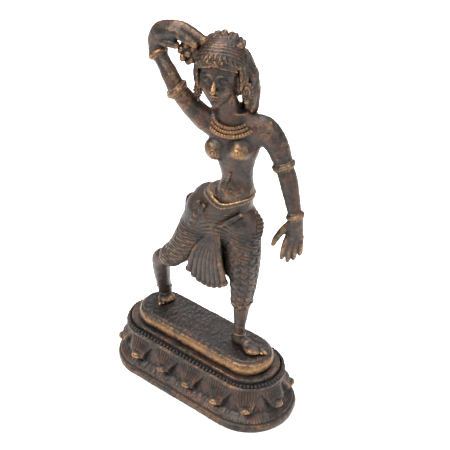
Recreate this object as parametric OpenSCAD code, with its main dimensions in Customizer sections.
// Cast brass dancing figure on a lotus pedestal.
// +Z is up, the figure faces -Y, its right side is at -X, and the origin is the centre of the pedestal's foot.
// All sizes are in millimetres.

/* [Pedestal] */
// Length of the pedestal's foot, along X
base_length = 82; // [74:1:90]
// Width of the pedestal's foot, along Y
base_width = 36; // [34:1:40]
// Height of the plain band at the foot
foot_height = 3.2; // [2.4:0.2:4]
// Height of the pedestal's top face
pedestal_height = 21; // [20:0.5:23]
// Wall of the hollow casting
wall = 3; // [2.5:0.25:3.5]
// Petals all the way round
petal_count = 14; // [12:1:16]
// Radius of a bead in the ring above the petals
bead_r = 0.8; // [0.6:0.1:0.9]

/* [Plinth] */
// Width of the plinth that the figure stands on
plinth_width = 19.6; // [18:0.2:21]
// Height of the plinth
plinth_height = 6; // [5:0.5:7]

/* [Figure] */
// Height of the figure, from its soles to the top of its raised hand
figure_height = 128; // [122:1:134]

/* [Hidden] */

metal = [0.30, 0.23, 0.18];       // dark patina
worn_metal = [0.52, 0.36, 0.20];  // brass rubbed bright on high places

foot_r = base_width / 2;
mid_r = foot_r - 2.5;  // the middle of the petals
spine = (base_length - base_width) / 2;  // half-length of the straight part
lip_r = foot_r - 1.4;
shelf_r = foot_r - 4.6;
shelf_z = pedestal_height - 2.6;
neck_r = shelf_r - 2 * bead_r;
plinth_r = plinth_width / 2;
plinth_top = pedestal_height + plinth_height;
k = figure_height / 128;
facing = 20;          // the chest and face turn this far towards +X
limb_fn = 14;         // facets round a limb
step_count = 3;       // hulls between two stations of a limb
tang_r = 2.5;
tang_x = 15;
tang_drop = 5.5;      // how far a tang reaches below the plinth
contact = 0.01;

// A point of the figure, from millimetres above the plinth on a 128 mm figure
function at(x, y, z) = [x * k, y * k, plinth_top + z * k];
// Catmull-Rom value between b and c
function bend(a, b, c, d, t) =
  0.5 * ((2 * b) + (c - a) * t + (2 * a - 5 * b + 4 * c - d) * t * t + (3 * b - a - 3 * c + d) * t * t * t);
// A station list with steps - 1 smooth stations added in every gap
function smooth(s, steps = step_count) = [
  for (i = [0 : len(s) - 2], j = [0 : steps - 1])
    bend(s[max(i - 1, 0)], s[i], s[i + 1], s[min(i + 2, len(s) - 1)], j / steps),
  s[len(s) - 1]
];

// Stations of the limbs: x, y, height above the plinth, radius
right_upper_arm_line = [[5, -3.4, 93.9, 4.1], [0.6, -6.4, 99.6, 3.5], [-2.9, -8.8, 105, 3]];
right_forearm_line = [[-2.9, -8.8, 105, 3], [-5.3, -9, 109.2, 2.9], [-8.5, -8.6, 112.8, 2.6], [-11.7, -8, 115.9, 2.6]];
left_upper_arm_line = [[21.6, 4.8, 93.2, 4.5], [26.6, 7.3, 87.8, 4.1], [30.1, 8, 80.4, 3.2]];
left_forearm_line = [[30.1, 8, 80.2, 3.1], [33, 7.5, 72.3, 3.1], [36.6, 6.6, 62.6, 2.3]];
right_shin_line = [[-10.6, -6, 31.2, 3.1], [-16.2, -5.6, 27, 3.5], [-18.8, -2.6, 17, 3.2], [-22.4, 1.9, 8.6, 2.8], [-23.4, 3, 5, 2.7]];
left_shin_line = [[19, 0, 24, 3.4], [18.4, 0, 15, 2.9], [18, 0, 6, 2.3]];
right_thigh_line = [[3.5, -1.9, 56, 7.4], [0.1, -3.8, 46.6, 6.5], [-5.6, -5.3, 37, 5.1], [-10.6, -6, 31.6, 4.1]];
left_thigh_line = [[16.4, 1.8, 55, 6.9], [18.8, 0.9, 42, 6.1], [19.3, 0.2, 31, 5], [18.9, 0, 21.4, 3.7]];

// A profile of radius against height, swept round the pedestal's spine
module moulding(points, half = spine) {
  for (side = [-1, 1])
    translate([side * half, 0, 0])
      rotate_extrude($fn = 64)
        polygon(points);
  translate([-half, 0, 0])
    rotate([90, 0, 90])
      linear_extrude(2 * half)
        polygon(concat(points, [for (i = [len(points) - 1 : -1 : 0]) [-points[i][0], points[i][1]]]));
}

module ball(s) {
  translate([s[0] * k, s[1] * k, plinth_top + s[2] * k])
    sphere(s[3] * k, $fn = limb_fn);
}

// A tapering limb through its stations
module limb(line, steps = step_count) {
  s = smooth(line, steps);
  for (i = [0 : len(s) - 2])
    hull() {
      ball(s[i]);
      ball(s[i + 1]);
    }
}

// An ellipsoid of half-axes half at a point of the figure, turned with the chest
module egg(place, half, turn = facing) {
  translate(at(place[0], place[1], place[2]))
    rotate([0, 0, turn])
      scale(half * k)
        sphere(1, $fn = limb_fn);
}

// A trunk section list: x, y, height, half-width, half-depth
module trunk(line, thick = 1.6) {
  s = smooth(line);
  for (i = [0 : len(s) - 2])
    hull()
      for (j = [i, i + 1])
        egg([s[j][0], s[j][1], s[j][2]], [s[j][3], s[j][4], thick]);
}

// A ring about a limb: centre, direction that it faces, inner radius and wire radius
module band(place, tilt, inner, wire) {
  translate(at(place[0], place[1], place[2]))
    rotate(tilt)
      rotate_extrude($fn = 24)
        translate([inner * k, 0])
          circle(wire * k, $fn = 14);
}

// Outer profile of the pedestal below its shelf, grown by gap
function wall_profile(gap) = [
  [0, 0], [foot_r + gap, 0], [foot_r + gap, foot_height + gap], [lip_r + gap, foot_height + 1],
  [lip_r - 1.9 + gap, foot_height + 3.6], [lip_r - 2.6 + gap, foot_height + 6],
  [shelf_r + gap, shelf_z - 2.4], [shelf_r + gap, shelf_z]
];

module pedestal() {
  cavity_r = foot_r - wall;
  color(metal)
    difference() {
      moulding(concat(wall_profile(0), [[neck_r, shelf_z], [neck_r, pedestal_height], [0, pedestal_height]]));
      moulding([
        [0, -1], [cavity_r, -1], [cavity_r - 0.2, 1], [cavity_r - 1.8, foot_height + 1.5],
        [neck_r - wall, pedestal_height - 2 * wall], [0, pedestal_height - 2 * wall]
      ]);
      for (side = [-1, 1])
        translate([side * tang_x, 0, pedestal_height - tang_drop - 1])
          cylinder(h = tang_drop + 2, r = tang_r + contact, $fn = 48);
    }
}

// Places a shape at a distance s along the pedestal's outline, with its +X pointing outwards
module on_outline(s) {
  arc = PI * mid_r;
  if (s < 2 * spine)
    translate([-spine + s, 0, 0]) rotate([0, 0, -90]) children();
  else if (s < 2 * spine + arc)
    translate([spine, 0, 0]) rotate([0, 0, -90 + (s - 2 * spine) / arc * 180]) children();
  else if (s < 4 * spine + arc)
    translate([3 * spine + arc - s, 0, 0]) rotate([0, 0, 90]) children();
  else
    translate([-spine, 0, 0]) rotate([0, 0, 90 + (s - 4 * spine - arc) / arc * 180]) children();
}

// One petal, pointing along +X: a fan under the shelf that gathers into a knob
module petal() {
  hull() {
    translate([lip_r - 1.6, 0, foot_height + 5.6])
      sphere(2, $fn = 10);
    translate([shelf_r + 0.6, 0, shelf_z - 6])
      scale([1.1, 2, 1])
        sphere(1.9, $fn = 10);
  }
  hull() {
    translate([shelf_r + 0.6, 0, shelf_z - 6])
      scale([1.1, 2, 1])
        sphere(1.9, $fn = 10);
    translate([shelf_r - 0.4, 0, shelf_z - 2.8])
      scale([1, 3, 1])
        sphere(1.5, $fn = 10);
  }
}

module lotus_petals() {
  outline = 4 * spine + 2 * PI * mid_r;
  color(metal)
    difference() {
      for (i = [0 : petal_count - 1])
        on_outline(0.8 + i * outline / petal_count)
          petal();
      moulding(concat(wall_profile(contact), [[0, shelf_z]]));
    }
}

module bead_ring() {
  r = neck_r + bead_r + contact;
  pitch = 2 * bead_r + 0.06;
  straight = floor(2 * spine / pitch);
  round_count = floor(PI * r / pitch);
  color(metal)
    for (side = [0, 180])
      rotate([0, 0, side])
        translate([0, 0, shelf_z + bead_r + contact]) {
          for (i = [0 : straight - 1])
            translate([-spine + (i + 0.5) * 2 * spine / straight, -r, 0])
              sphere(bead_r, $fn = 16);
          for (i = [0 : round_count - 1])
            translate([spine, 0, 0])
              rotate([0, 0, -90 + (i + 0.5) * 180 / round_count])
                translate([r, 0, 0])
                  sphere(bead_r, $fn = 16);
        }
}

module plinth() {
  color(worn_metal)
    translate([0.6, 0, 0])
      moulding([
        [0, pedestal_height], [plinth_r - 0.8, pedestal_height], [plinth_r - 0.2, pedestal_height + 1],
        [plinth_r, pedestal_height + 2.4], [plinth_r - 0.3, plinth_top - 2], [plinth_r - 1.2, plinth_top - 0.8],
        [plinth_r - 1.8, plinth_top], [0, plinth_top]
      ], spine - 1.5);
}

// Two cast tangs hold the plinth; each goes through the pedestal's top and is peened over inside
module plinth_tangs() {
  peen_r = 1.5 * tang_r;
  roof_z = pedestal_height - 2 * wall;
  color(metal)
    for (side = [-1, 1])
      translate([side * tang_x, 0, 0]) {
        translate([0, 0, roof_z])
          cylinder(h = pedestal_height - roof_z, r = tang_r - contact, $fn = 48);
        translate([0, 0, roof_z - 1.2])
          cylinder(h = 1.2, r = peen_r, $fn = 48);
      }
}

// A foot: sole centre, direction that the toes point, length and whether its arch is at +Y
module foot(place, heading, length) {
  translate(at(place[0], place[1], 0))
    rotate([0, 0, heading])
      scale(k) {
        hull() {
          translate([-length * 0.36, 0, 1.9])
            sphere(1.9, $fn = 16);
          translate([length * 0.18, 0, 1.7])
            scale([1.3, 1.5, 1])
              sphere(1.7, $fn = 16);
        }
        hull() {
          translate([-length * 0.22, 0, 5.2])
            sphere(2.3, $fn = 16);
          translate([length * 0.18, 0, 1.7])
            scale([1.3, 1.5, 1])
              sphere(1.7, $fn = 16);
        }
        hull() {
          translate([-length * 0.36, 0, 1.9])
            sphere(1.9, $fn = 16);
          translate([-length * 0.22, 0, 5.2])
            sphere(2.3, $fn = 16);
        }
        for (toe = [-2 : 2])
          hull() {
            translate([length * 0.2, toe * 1.05, 1.3])
              sphere(1, $fn = 10);
            translate([length * 0.46 - abs(toe + 0.6) * 0.35, toe * 1.15, 0.85])
              sphere(0.8, $fn = 10);
          }
      }
}

module above_plinth() {
  translate([-80, -40, plinth_top])
    cube([160, 80, 160]);
}

module right_foot_solid() { foot([-23, 3.7], -46, 12); }
module left_foot_solid() { foot([21.4, -0.2], -10, 15); }

module right_foot() {
  color(metal)
    intersection() {
      right_foot_solid();
      above_plinth();
    }
}

module left_foot() {
  color(metal)
    intersection() {
      left_foot_solid();
      above_plinth();
    }
}

module right_shin() {
  color(metal)
    difference() {
      limb(right_shin_line, 2);
      right_foot_solid();
    }
}

module left_shin() {
  color(metal)
    difference() {
      limb(left_shin_line);
      left_foot_solid();
    }
}

module hips_solid() {
  trunk([[9.4, 0.3, 50.5, 10.4, 7.6], [9.8, 0.4, 58, 11, 7.8], [11.9, 0.5, 63.6, 8.8, 6.9]]);
}

module torso_solid() {
  trunk([
    [13.6, 0.5, 66, 7.5, 6], [15.4, 0.7, 69.6, 6.3, 5.4], [15.4, 1, 74, 5.6, 4.8], [14.9, 1, 79.5, 6.9, 5.2],
    [14.7, 1.2, 86, 9, 5.8], [14.5, 1.6, 92, 9.4, 5.2], [13.9, 1.3, 96, 7.6, 4.4], [13.4, 0.9, 98.4, 5.6, 4]
  ]);
  egg([9.9, -3.5, 84.6], [4.2, 4.2, 4.2]);
  egg([18.3, -0.9, 86.2], [4.2, 4.2, 4.2]);
}

module dhoti_right_leg() {
  color(metal)
    difference() {
      limb(right_thigh_line, 2);
      hips_solid();
      limb(right_shin_line, 2);
    }
}

module dhoti_left_leg() {
  color(metal)
    difference() {
      limb(left_thigh_line, 2);
      hips_solid();
      limb(left_shin_line);
      limb(right_thigh_line, 2);
    }
}

module hips() {
  color(metal)
    difference() {
      hips_solid();
      torso_solid();
      belt_solid();
    }
}

// The pleats that hang between the legs, spreading to a scalloped hem
module fan_solid() {
  folds = 7;
  for (i = [0 : folds - 1]) {
    t = i / (folds - 1);
    hull() {
      ball([9.6 + 3.2 * t, -6.4 + 0.4 * t, 51, 1]);
      ball([0.8 + 14.9 * t, -8.4 + 2 * t, 33.4 - 4.8 * sin(180 * (0.05 + 0.85 * t)), 1.9]);
    }
  }
  for (i = [0 : 3]) {
    t = i / 3;
    hull() {
      ball([4 + 10 * t, -3.5 + 2 * t, 50, 2.2]);
      ball([-0.5 + 16 * t, -6 + 2.6 * t, 34.5, 2]);
    }
  }
}

module pleated_fan() {
  color(metal)
    difference() {
      fan_solid();
      limb(right_thigh_line, 2);
      limb(left_thigh_line, 2);
      hips_solid();
    }
}

module belt_solid() {
  trunk([[12.2, 0.5, 64.6, 9.3, 7.2], [12.7, 0.5, 65.6, 8.9, 6.9], [13.2, 0.6, 66.6, 8.4, 6.6]], 0.8);
}

module belt() {
  color(worn_metal)
    difference() {
      belt_solid();
      torso_solid();
    }
}

module right_hip_knot() {
  color(metal)
    difference() {
      limb([[-1, -1.6, 60, 1.2], [-4.6, -1.4, 57.8, 1.7], [-4.8, -2.6, 55, 1.4], [-3.8, -4.6, 52, 1.1]], 2);
      hips_solid();
      belt_solid();
      limb(right_thigh_line, 2);
    }
}

module left_hip_knot() {
  color(metal)
    difference() {
      limb([[20.6, 4.2, 58, 1.8], [22.2, 4.6, 54.6, 2.4], [22.8, 3.8, 51, 2.2], [22.4, 2.8, 47, 1.6]], 2);
      hips_solid();
      belt_solid();
      limb(left_thigh_line, 2);
    }
}

module torso() {
  color(metal)
    torso_solid();
}

module waist_cord() {
  color(metal)
    difference() {
      limb([[16.4, -4.2, 77, 0.7], [14.9, -4.7, 72.5, 0.7], [13.7, -5.2, 69.3, 0.8], [10.6, -5.7, 65.6, 0.8]]);
      torso_solid();
      belt_solid();
    }
}

module neck_solid() {
  limb([[13.8, 1, 94, 4.6], [12.9, 0.2, 98, 3.9], [11.8, -1.4, 104.5, 3.9]]);
}

module neck() {
  color(metal)
    difference() {
      neck_solid();
      torso_solid();
      head_solid();
    }
}

// A necklace: half-width, half-depth, how far its front drops, and its wire radius
module necklace(half, depth, drop, wire) {
  beads = 20;
  function place(i) = [
    13.6 + half * cos(i * 360 / beads) * cos(facing),
    0.9 + half * cos(i * 360 / beads) * sin(facing)
      - (sin(i * 360 / beads) > 0 ? depth : 4.2) * sin(i * 360 / beads),
    99.2 - drop * (1 + sin(i * 360 / beads)) / 2, wire
  ];
  for (i = [0 : beads - 1])
    hull() {
      ball(place(i));
      ball(place(i + 1));
    }
}

module inner_necklace_solid() { necklace(6.6, 5.7, 4.6, 1); }
module outer_necklace_solid() { necklace(8.6, 6.5, 7.4, 1.1); }

module inner_necklace() {
  color(worn_metal)
    difference() {
      inner_necklace_solid();
      torso_solid();
      neck_solid();
    }
}

module outer_necklace() {
  color(worn_metal)
    difference() {
      outer_necklace_solid();
      torso_solid();
      neck_solid();
      inner_necklace_solid();
    }
}

module right_upper_arm() {
  color(metal)
    difference() {
      limb(right_upper_arm_line);
      torso_solid();
      outer_necklace_solid();
      right_band_solid();
    }
}

module right_band_solid() { band([-2.9, -8.7, 104.7], [0, -38, 34], 3.1, 1); }
module right_wrist_solid() { band([-11.4, -8, 115], [0, -46, -10], 2.7, 0.95); }
module left_band_solid() { band([30, 8, 80], [0, 160, 3], 3.2, 1); }
module left_wrist_solid() { band([36.5, 6.7, 62.9], [0, 159, -13], 2.4, 0.95); }

module right_elbow_band() { color(worn_metal) right_band_solid(); }

module right_forearm() {
  color(metal)
    difference() {
      limb(right_forearm_line);
      limb(right_upper_arm_line);
      right_band_solid();
      right_wrist_solid();
    }
}

module right_wrist_band() { color(worn_metal) right_wrist_solid(); }

module right_hand_solid() {
  limb([
    [-11.7, -8, 116, 2.7], [-12, -7.8, 119.2, 3.1], [-9.8, -7.4, 122.9, 3.6], [-4.9, -6.6, 124.6, 3.4],
    [0, -5.6, 123.6, 3], [4, -4.4, 122, 2]
  ], 2);
}

module right_hand() {
  color(metal)
    difference() {
      right_hand_solid();
      limb(right_forearm_line);
      right_wrist_solid();
    }
}

module left_upper_arm() {
  color(metal)
    difference() {
      limb(left_upper_arm_line);
      torso_solid();
      outer_necklace_solid();
      left_band_solid();
    }
}

module left_elbow_band() { color(worn_metal) left_band_solid(); }

module left_forearm() {
  color(metal)
    difference() {
      limb(left_forearm_line);
      limb(left_upper_arm_line);
      left_band_solid();
      left_wrist_solid();
    }
}

module left_wrist_band() { color(worn_metal) left_wrist_solid(); }

module left_hand() {
  color(metal)
    difference() {
      union() {
        hull() {
          ball([37.1, 6.5, 61.6, 2.1]);
          ball([36.5, 4.7, 55, 2]);
          ball([38.5, 6.3, 55, 2]);
        }
        for (i = [0 : 3])
          limb([[35.9 + i * 0.9, 4.1 + i * 0.8, 55, 1.1], [35.3 + i * 1.1, 3.5 + i * 0.9, 49.5 - i * 0.4, 1],
                [34.5 + i * 1.1, 3.1 + i * 0.8, 45.4 + i * 0.4, 0.8]], 1);
        limb([[36.5, 4.9, 58.4, 1.4], [33.5, 2.9, 55.6, 1.2], [31.9, 1.5, 52, 0.9]], 2);
      }
      left_wrist_solid();
      limb(left_forearm_line);
    }
}

module head_solid() {
  trunk([
    [11.8, -5.8, 103.6, 2.4, 2], [11.3, -4.4, 107, 5.3, 5], [11, -3, 112.4, 6.4, 6.9], [10.8, -2, 118, 6.4, 7]
  ], 2);
}

module head() {
  color(metal)
    head_solid();
}

module brow_solid() {
  trunk([[10.7, -2.4, 117.6, 7.2, 8], [10.7, -2.2, 118.6, 7.2, 8], [10.7, -2, 119.6, 6.9, 7.8]], 0.8);
}

module brow_band() {
  color(worn_metal)
    difference() {
      brow_solid();
      head_solid();
    }
}

module hair_solid() {
  trunk([[10.2, 2.2, 103, 6.4, 3.8], [10, 2, 109.5, 9.2, 5.6], [10.2, 0.4, 116, 8.6, 8.4], [10.4, 0, 121.8, 6, 6.4]], 2.4);
}

module hair() {
  color(metal)
    difference() {
      hair_solid();
      head_solid();
      neck_solid();
      brow_solid();
      right_hand_solid();
      torso_solid();
    }
}

module crown_curls() {
  color(metal)
    difference() {
      for (i = [0 : 6])
        hull() {
          egg([9.8 + 4.4 * cos(i * 51.4), 0.8 + 4.4 * sin(i * 51.4), 121.8], [2, 2, 1.8]);
          egg([9.8, 0.8, 123.6], [1.6, 1.6, 1.2]);
        }
      hair_solid();
      right_hand_solid();
    }
}

module side_bun_solid() {
  limb([[4.6, -3.4, 117.4, 2.8], [0.6, -4.4, 117.8, 3.6], [-2.4, -5, 118, 2.4]]);
}

module side_bun() {
  color(metal)
    difference() {
      side_bun_solid();
      hair_solid();
      head_solid();
      right_hand_solid();
    }
}

module tress_solid() {
  limb([[15.2, 3, 118, 2.8], [17.4, 4.4, 112, 3.1], [17.9, 5, 104.5, 3.1], [17.6, 5.2, 98.4, 2.5]], 2);
}

module hair_tress() {
  color(metal)
    difference() {
      tress_solid();
      hair_solid();
      torso_solid();
      limb(left_upper_arm_line);
    }
}

module right_ear_ornament() {
  color(worn_metal)
    difference() {
      limb([[4.4, -4, 109, 1.2], [3.4, -5.2, 106.6, 1.6], [3.2, -5.4, 102.8, 1.3]]);
      head_solid();
      hair_solid();
    }
}

module left_ear_ornament() {
  color(worn_metal)
    difference() {
      limb([[18.4, 0.4, 111, 1.6], [19.4, 0.6, 107.6, 2.2], [19.4, 0.6, 104, 1.6]]);
      head_solid();
      hair_solid();
      tress_solid();
      limb(left_upper_arm_line);
      torso_solid();
    }
}

pedestal();
lotus_petals();
bead_ring();
plinth();
plinth_tangs();
right_foot();
left_foot();
right_shin();
left_shin();
dhoti_right_leg();
dhoti_left_leg();
hips();
pleated_fan();
belt();
right_hip_knot();
left_hip_knot();
torso();
waist_cord();
inner_necklace();
outer_necklace();
right_upper_arm();
right_elbow_band();
right_forearm();
right_wrist_band();
right_hand();
left_upper_arm();
left_elbow_band();
left_forearm();
left_wrist_band();
left_hand();
neck();
head();
brow_band();
hair();
crown_curls();
side_bun();
hair_tress();
right_ear_ornament();
left_ear_ornament();
